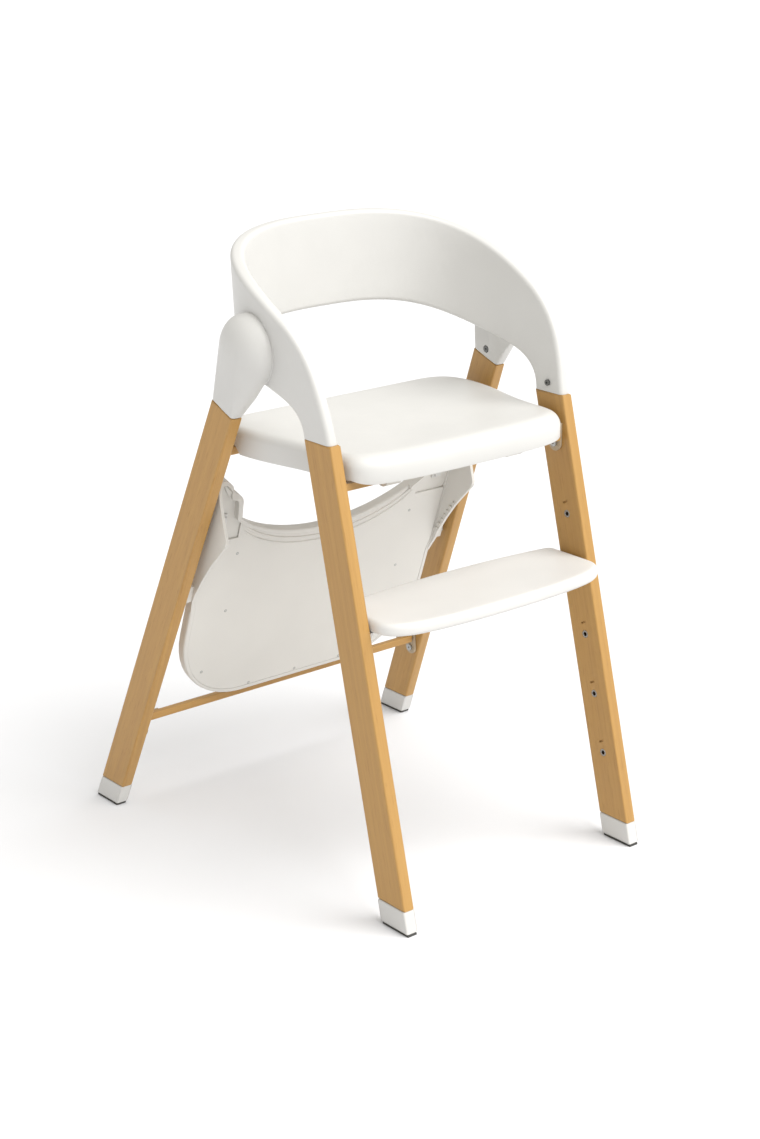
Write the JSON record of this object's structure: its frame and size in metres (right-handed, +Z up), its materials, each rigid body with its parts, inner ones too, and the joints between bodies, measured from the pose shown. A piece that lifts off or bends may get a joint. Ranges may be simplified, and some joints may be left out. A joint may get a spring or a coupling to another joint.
{
  "type": "baby high chair",
  "caption": "Folding baby high chair with a wrap-round hoop back, splayed wooden legs, moulded seat, height-adjustable footrest and a tray stored between the rear legs.",
  "frame": {"origin": "centre of the four feet's outline on the floor", "axes": "+Z up, the child faces -Y, +X to the right for somebody standing in front of the chair"},
  "size_m": [0.5236, 0.5836, 0.7968],
  "materials": {
    "beech": "satin lacquered beech",
    "white_plastic": "fine satin moulded plastic",
    "warm_white_plastic": "unpolished moulded plastic",
    "rubber": "matt",
    "steel": "zinc-plated"
  },
  "bodies": {
    "frame": {"hoop_back": "white_plastic", "front_seat_rail": "beech", "hinge_pin_left": "steel", "hinge_pin_right": "steel", "front_leg_left": "beech", "front_leg_right": "beech", "front_foot_cap_left": "white_plastic", "front_foot_cap_right": "white_plastic", "front_foot_sole_left": "rubber", "front_foot_sole_right": "rubber", "footrest_insert_1_left": "steel", "footrest_insert_1_right": "steel", "footrest_insert_2_left": "steel", "footrest_insert_2_right": "steel", "footrest_insert_3_left": "steel", "footrest_insert_3_right": "steel", "footrest_insert_4_left": "steel", "footrest_insert_4_right": "steel", "footrest_insert_5_left": "steel", "footrest_insert_5_right": "steel", "front_rail_bracket_left": "warm_white_plastic", "front_rail_bracket_right": "warm_white_plastic", "front_rail_bolt_left": "steel", "front_rail_bolt_right": "steel", "front_socket_screw_left": "steel", "front_socket_screw_right": "steel"},
    "rear_frame": {"rear_seat_rail": "beech", "rear_lower_rail": "beech", "rear_leg_socket_left": "white_plastic", "rear_leg_socket_right": "white_plastic", "rear_leg_left": "beech", "rear_leg_right": "beech", "rear_foot_cap_left": "white_plastic", "rear_foot_cap_right": "white_plastic", "rear_foot_sole_left": "rubber", "rear_foot_sole_right": "rubber", "seat_rail_bracket_left": "warm_white_plastic", "seat_rail_bracket_right": "warm_white_plastic", "seat_rail_bolt_left": "steel", "seat_rail_bolt_right": "steel", "lower_rail_bracket_left": "warm_white_plastic", "lower_rail_bracket_right": "warm_white_plastic", "lower_rail_bolt_left": "steel", "lower_rail_bolt_right": "steel", "rear_socket_screw_left": "steel", "rear_socket_screw_right": "steel", "tray_peg_left": "warm_white_plastic", "tray_peg_right": "warm_white_plastic"},
    "seat": {"seat_shell": "white_plastic", "seat_clip_left": "warm_white_plastic", "seat_clip_right": "warm_white_plastic"},
    "footrest": {"footrest_board": "white_plastic", "footrest_flange_left": "white_plastic", "footrest_flange_right": "white_plastic", "footrest_screw_left": "steel", "footrest_screw_right": "steel"},
    "tray": {"tray_shell": "warm_white_plastic", "tray_underside_panel": "warm_white_plastic"},
    "tray_latch_left": {"tray_latch_left": "white_plastic"},
    "tray_latch_right": {"tray_latch_right": "white_plastic"}
  },
  "joints": [
    {"name": "fold", "type": "hinge", "parent": "frame", "child": "rear_frame", "pos_m": [0, -0.003, 0.668], "axis": [-1, 0, 0], "range_deg": [0, 34]},
    {"name": "seat_tilt", "type": "hinge", "parent": "frame", "child": "seat", "pos_m": [0, -0.1395, 0.5255], "axis": [1, 0, 0], "range_deg": [0, 20]},
    {"name": "footrest_height", "type": "slide", "parent": "frame", "child": "footrest", "axis": [0, 0.2451, 0.9695], "range_m": [-0.2382, 0.0794]},
    {"name": "tray_lift", "type": "slide", "parent": "rear_frame", "child": "tray", "axis": [0, -0.3206, 0.9472], "range_m": [0, 0.025]},
    {"name": "tray_latch_press_right", "type": "slide", "parent": "tray", "child": "tray_latch_right", "axis": [-1, 0, 0], "range_m": [0, 0.006], "stiffness_N_per_m": 300, "springref_m": -0.002},
    {"name": "tray_latch_press_left", "type": "slide", "parent": "tray", "child": "tray_latch_left", "axis": [1, 0, 0], "range_m": [0, 0.006], "stiffness_N_per_m": 300, "springref_m": -0.002}
  ],
  "couplings": [
    {"joint": "seat_tilt", "follows": "fold", "ratio": 0.588}
  ]
}
